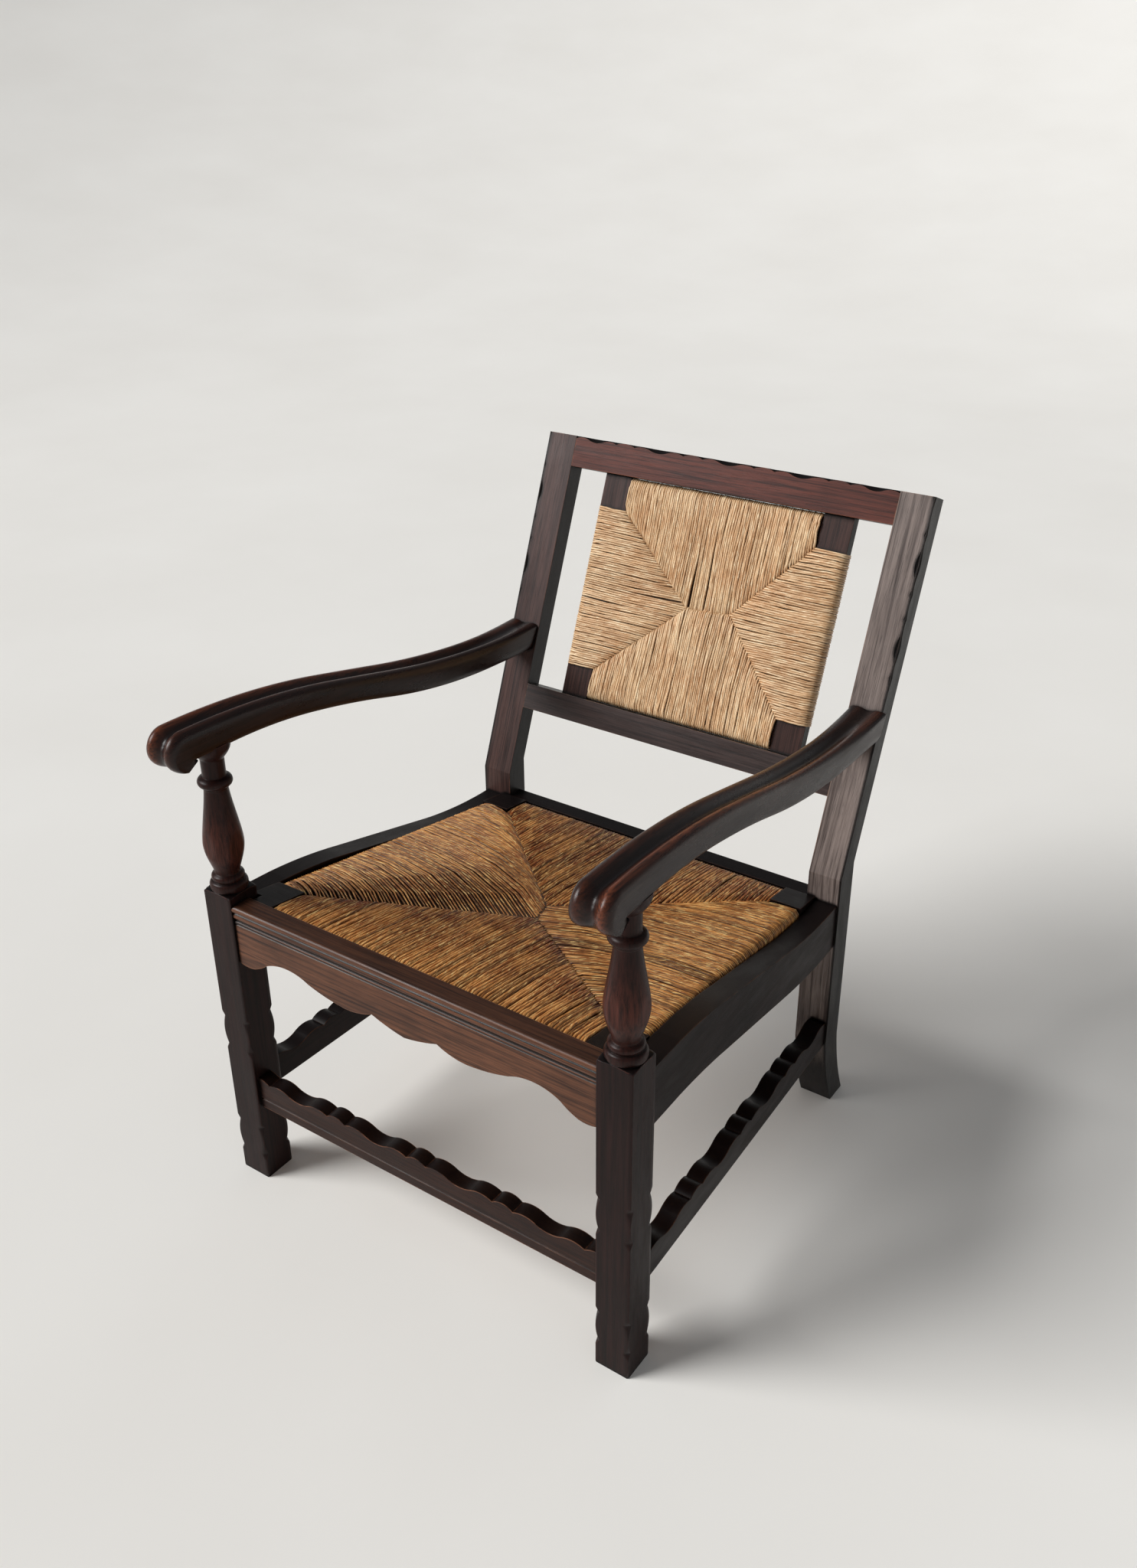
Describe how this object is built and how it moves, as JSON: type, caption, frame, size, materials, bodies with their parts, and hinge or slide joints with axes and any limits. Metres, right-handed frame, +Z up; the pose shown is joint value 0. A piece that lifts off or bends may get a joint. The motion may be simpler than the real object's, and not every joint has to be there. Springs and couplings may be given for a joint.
{
  "type": "rush seat armchair",
  "caption": "Open oak armchair with a raked rush panel back, reeded arms on turned supports, scalloped rails and a drop-in rush seat.",
  "frame": {"origin": "on the floor, under the middle of the chair's bounding box", "axes": "+Z up, the chair faces -Y, +X towards the left arm of somebody sitting in it"},
  "size_m": [0.6238, 0.7911, 0.8494],
  "materials": {
    "dark_oak": "satin",
    "worn_rush": "matte",
    "pale_rush": "matte"
  },
  "bodies": {
    "chair_frame": {"front_leg_left": "dark_oak", "front_leg_right": "dark_oak", "rear_leg_left": "dark_oak", "rear_leg_right": "dark_oak", "front_seat_rail": "dark_oak", "side_seat_rail_left": "dark_oak", "side_seat_rail_right": "dark_oak", "rear_seat_rail": "dark_oak", "front_stretcher": "dark_oak", "side_stretcher_left": "dark_oak", "side_stretcher_right": "dark_oak", "top_rail": "dark_oak", "lower_back_rail": "dark_oak", "back_post_left": "dark_oak", "back_post_right": "dark_oak", "arm_left": "dark_oak", "arm_right": "dark_oak", "back_rush_rail_top": "dark_oak", "back_rush_rail_bottom": "dark_oak", "back_rush": "pale_rush"},
    "drop_in_seat": {"seat_frame_front": "dark_oak", "seat_frame_rear": "dark_oak", "seat_frame_left": "dark_oak", "seat_frame_right": "dark_oak", "seat_rush": "worn_rush"}
  },
  "joints": [
    {"name": "seat_lift", "type": "slide", "parent": "chair_frame", "child": "drop_in_seat", "axis": [0, 0, 1], "range_m": [0, 0.06]}
  ]
}
